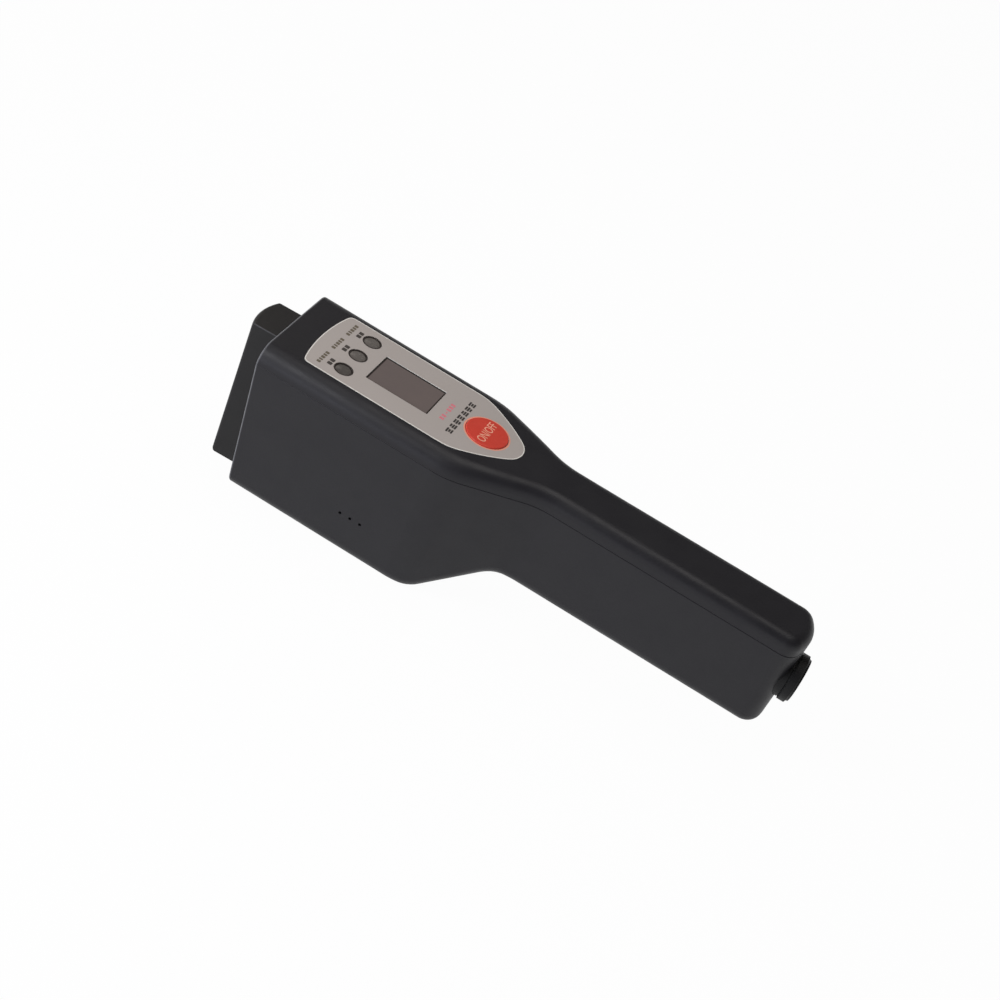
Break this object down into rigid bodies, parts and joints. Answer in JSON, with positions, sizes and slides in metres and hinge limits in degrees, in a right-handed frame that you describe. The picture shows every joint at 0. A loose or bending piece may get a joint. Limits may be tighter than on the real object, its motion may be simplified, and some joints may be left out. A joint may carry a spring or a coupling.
{
  "type": "handheld detector",
  "caption": "Battery-powered hand-held screening detector: deep black head with display, lamps and power button, narrow sensing nose, slim grip with a screwed battery cap.",
  "frame": {"origin": "middle of the head's flat underside, which is the face it rests on", "axes": "+X runs from the head to the end of the grip, +Z points out of the label face, +Y completes a right-handed frame"},
  "size_m": [0.3045, 0.0686, 0.0857],
  "materials": {
    "housing_black": "fine matte",
    "front_black": "fine matte",
    "nose_black": "satin",
    "pad_black": "matte",
    "copper_plate": "plated",
    "board_green": "solder mask",
    "tinned_sheet": "satin",
    "screw_steel": "zinc plated",
    "label_silver": "fine brushed",
    "window_grey": "glossy",
    "panel_grey": "matte",
    "module_black": "matte",
    "lens_smoke": "glossy",
    "bezel_brown": "glossy",
    "diode_clear": "clear",
    "switch_black": "matte",
    "chip_black": "matte",
    "buzzer_black": "matte",
    "tube_grey": "matte",
    "contact_plated": "nickel plated",
    "cell_sleeve": "glossy sleeve",
    "button_red": "satin",
    "cap_black": "matte",
    "seal_rubber": "matte"
  },
  "bodies": {
    "housing": {"housing_base": "housing_black", "housing_top": "housing_black", "front_plate": "front_black", "nose_cover": "nose_black", "sensing_pad": "pad_black", "sensing_electrodes": "copper_plate", "sensor_board": "board_green", "sensor_shield": "tinned_sheet", "nose_screws": "screw_steel", "label_plate": "label_silver", "display_window": "window_grey", "display_panel": "panel_grey", "display_module": "module_black", "lamp_lens_left": "lens_smoke", "lamp_lens_middle": "lens_smoke", "lamp_lens_right": "lens_smoke", "lamp_bezels": "bezel_brown", "status_diodes": "diode_clear", "power_switch": "switch_black", "main_board": "board_green", "board_screws": "screw_steel", "processor": "chip_black", "buzzer": "buzzer_black", "battery_tube": "tube_grey", "front_contact": "contact_plated", "front_cell": "cell_sleeve", "rear_cell": "cell_sleeve", "battery_strip": "contact_plated", "case_screws": "screw_steel"},
    "power_button": {"power_button": "button_red"},
    "cap_carrier": {"cap_contact": "contact_plated"},
    "battery_cap": {"battery_cap": "cap_black", "cap_seal": "seal_rubber"}
  },
  "joints": [
    {"name": "power_button_press", "type": "slide", "parent": "housing", "child": "power_button", "axis": [0, 0, -1], "range_m": [0, 0.0008], "stiffness_N_per_m": 600, "springref_m": -0.0005},
    {"name": "cap_travel", "type": "slide", "parent": "housing", "child": "cap_carrier", "axis": [1, 0, 0], "range_m": [0, 0.0045]},
    {"name": "cap_turn", "type": "hinge", "parent": "cap_carrier", "child": "battery_cap", "pos_m": [0.2281, 0, 0.0568], "axis": [1, 0, 0], "range_deg": [0, 1080]}
  ],
  "couplings": [
    {"joint": "cap_travel", "follows": "cap_turn", "m_per_rad": 0.00023873}
  ]
}
